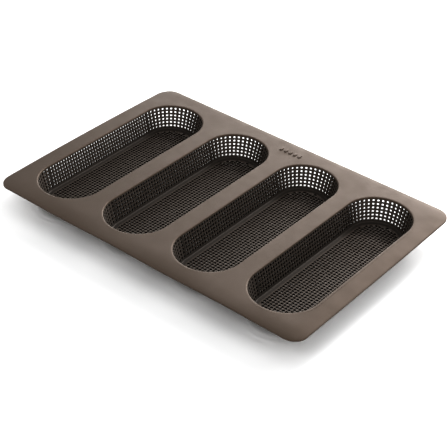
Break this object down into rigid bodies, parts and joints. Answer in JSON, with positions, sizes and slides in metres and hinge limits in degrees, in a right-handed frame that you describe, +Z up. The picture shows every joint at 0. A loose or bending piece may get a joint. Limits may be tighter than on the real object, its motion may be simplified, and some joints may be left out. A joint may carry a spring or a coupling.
{
  "type": "baguette tray",
  "caption": "Flat flexible silicone baking tray with long round-ended perforated cavities hanging from a thin rounded rim.",
  "frame": {"origin": "under the middle of the tray, on the plane that its cavities rest on", "axes": "+X along the long side of the rim, +Y along the cavities, +Z up"},
  "size_m": [0.36, 0.248, 0.0266],
  "materials": {
    "rim_silicone": "satin",
    "cavity_silicone": "satin",
    "grille_silicone": "satin"
  },
  "bodies": {
    "root": {"rim_sheet": "rim_silicone", "cavity_1_lip": "rim_silicone", "cavity_1_floor_band": "cavity_silicone", "cavity_1_floor_grille": "grille_silicone", "cavity_1_back_grille": "grille_silicone", "cavity_1_front_grille": "grille_silicone", "cavity_1_left_grille": "grille_silicone", "cavity_1_back_left_rib": "cavity_silicone", "cavity_1_front_left_rib": "cavity_silicone", "cavity_1_right_grille": "grille_silicone", "cavity_1_back_right_rib": "cavity_silicone", "cavity_1_front_right_rib": "cavity_silicone", "cavity_2_lip": "rim_silicone", "cavity_2_floor_band": "cavity_silicone", "cavity_2_floor_grille": "grille_silicone", "cavity_2_back_grille": "grille_silicone", "cavity_2_front_grille": "grille_silicone", "cavity_2_left_grille": "grille_silicone", "cavity_2_back_left_rib": "cavity_silicone", "cavity_2_front_left_rib": "cavity_silicone", "cavity_2_right_grille": "grille_silicone", "cavity_2_back_right_rib": "cavity_silicone", "cavity_2_front_right_rib": "cavity_silicone", "cavity_3_lip": "rim_silicone", "cavity_3_floor_band": "cavity_silicone", "cavity_3_floor_grille": "grille_silicone", "cavity_3_back_grille": "grille_silicone", "cavity_3_front_grille": "grille_silicone", "cavity_3_left_grille": "grille_silicone", "cavity_3_back_left_rib": "cavity_silicone", "cavity_3_front_left_rib": "cavity_silicone", "cavity_3_right_grille": "grille_silicone", "cavity_3_back_right_rib": "cavity_silicone", "cavity_3_front_right_rib": "cavity_silicone", "cavity_4_lip": "rim_silicone", "cavity_4_floor_band": "cavity_silicone", "cavity_4_floor_grille": "grille_silicone", "cavity_4_back_grille": "grille_silicone", "cavity_4_front_grille": "grille_silicone", "cavity_4_left_grille": "grille_silicone", "cavity_4_back_left_rib": "cavity_silicone", "cavity_4_front_left_rib": "cavity_silicone", "cavity_4_right_grille": "grille_silicone", "cavity_4_back_right_rib": "cavity_silicone", "cavity_4_front_right_rib": "cavity_silicone"}
  },
  "joints": []
}
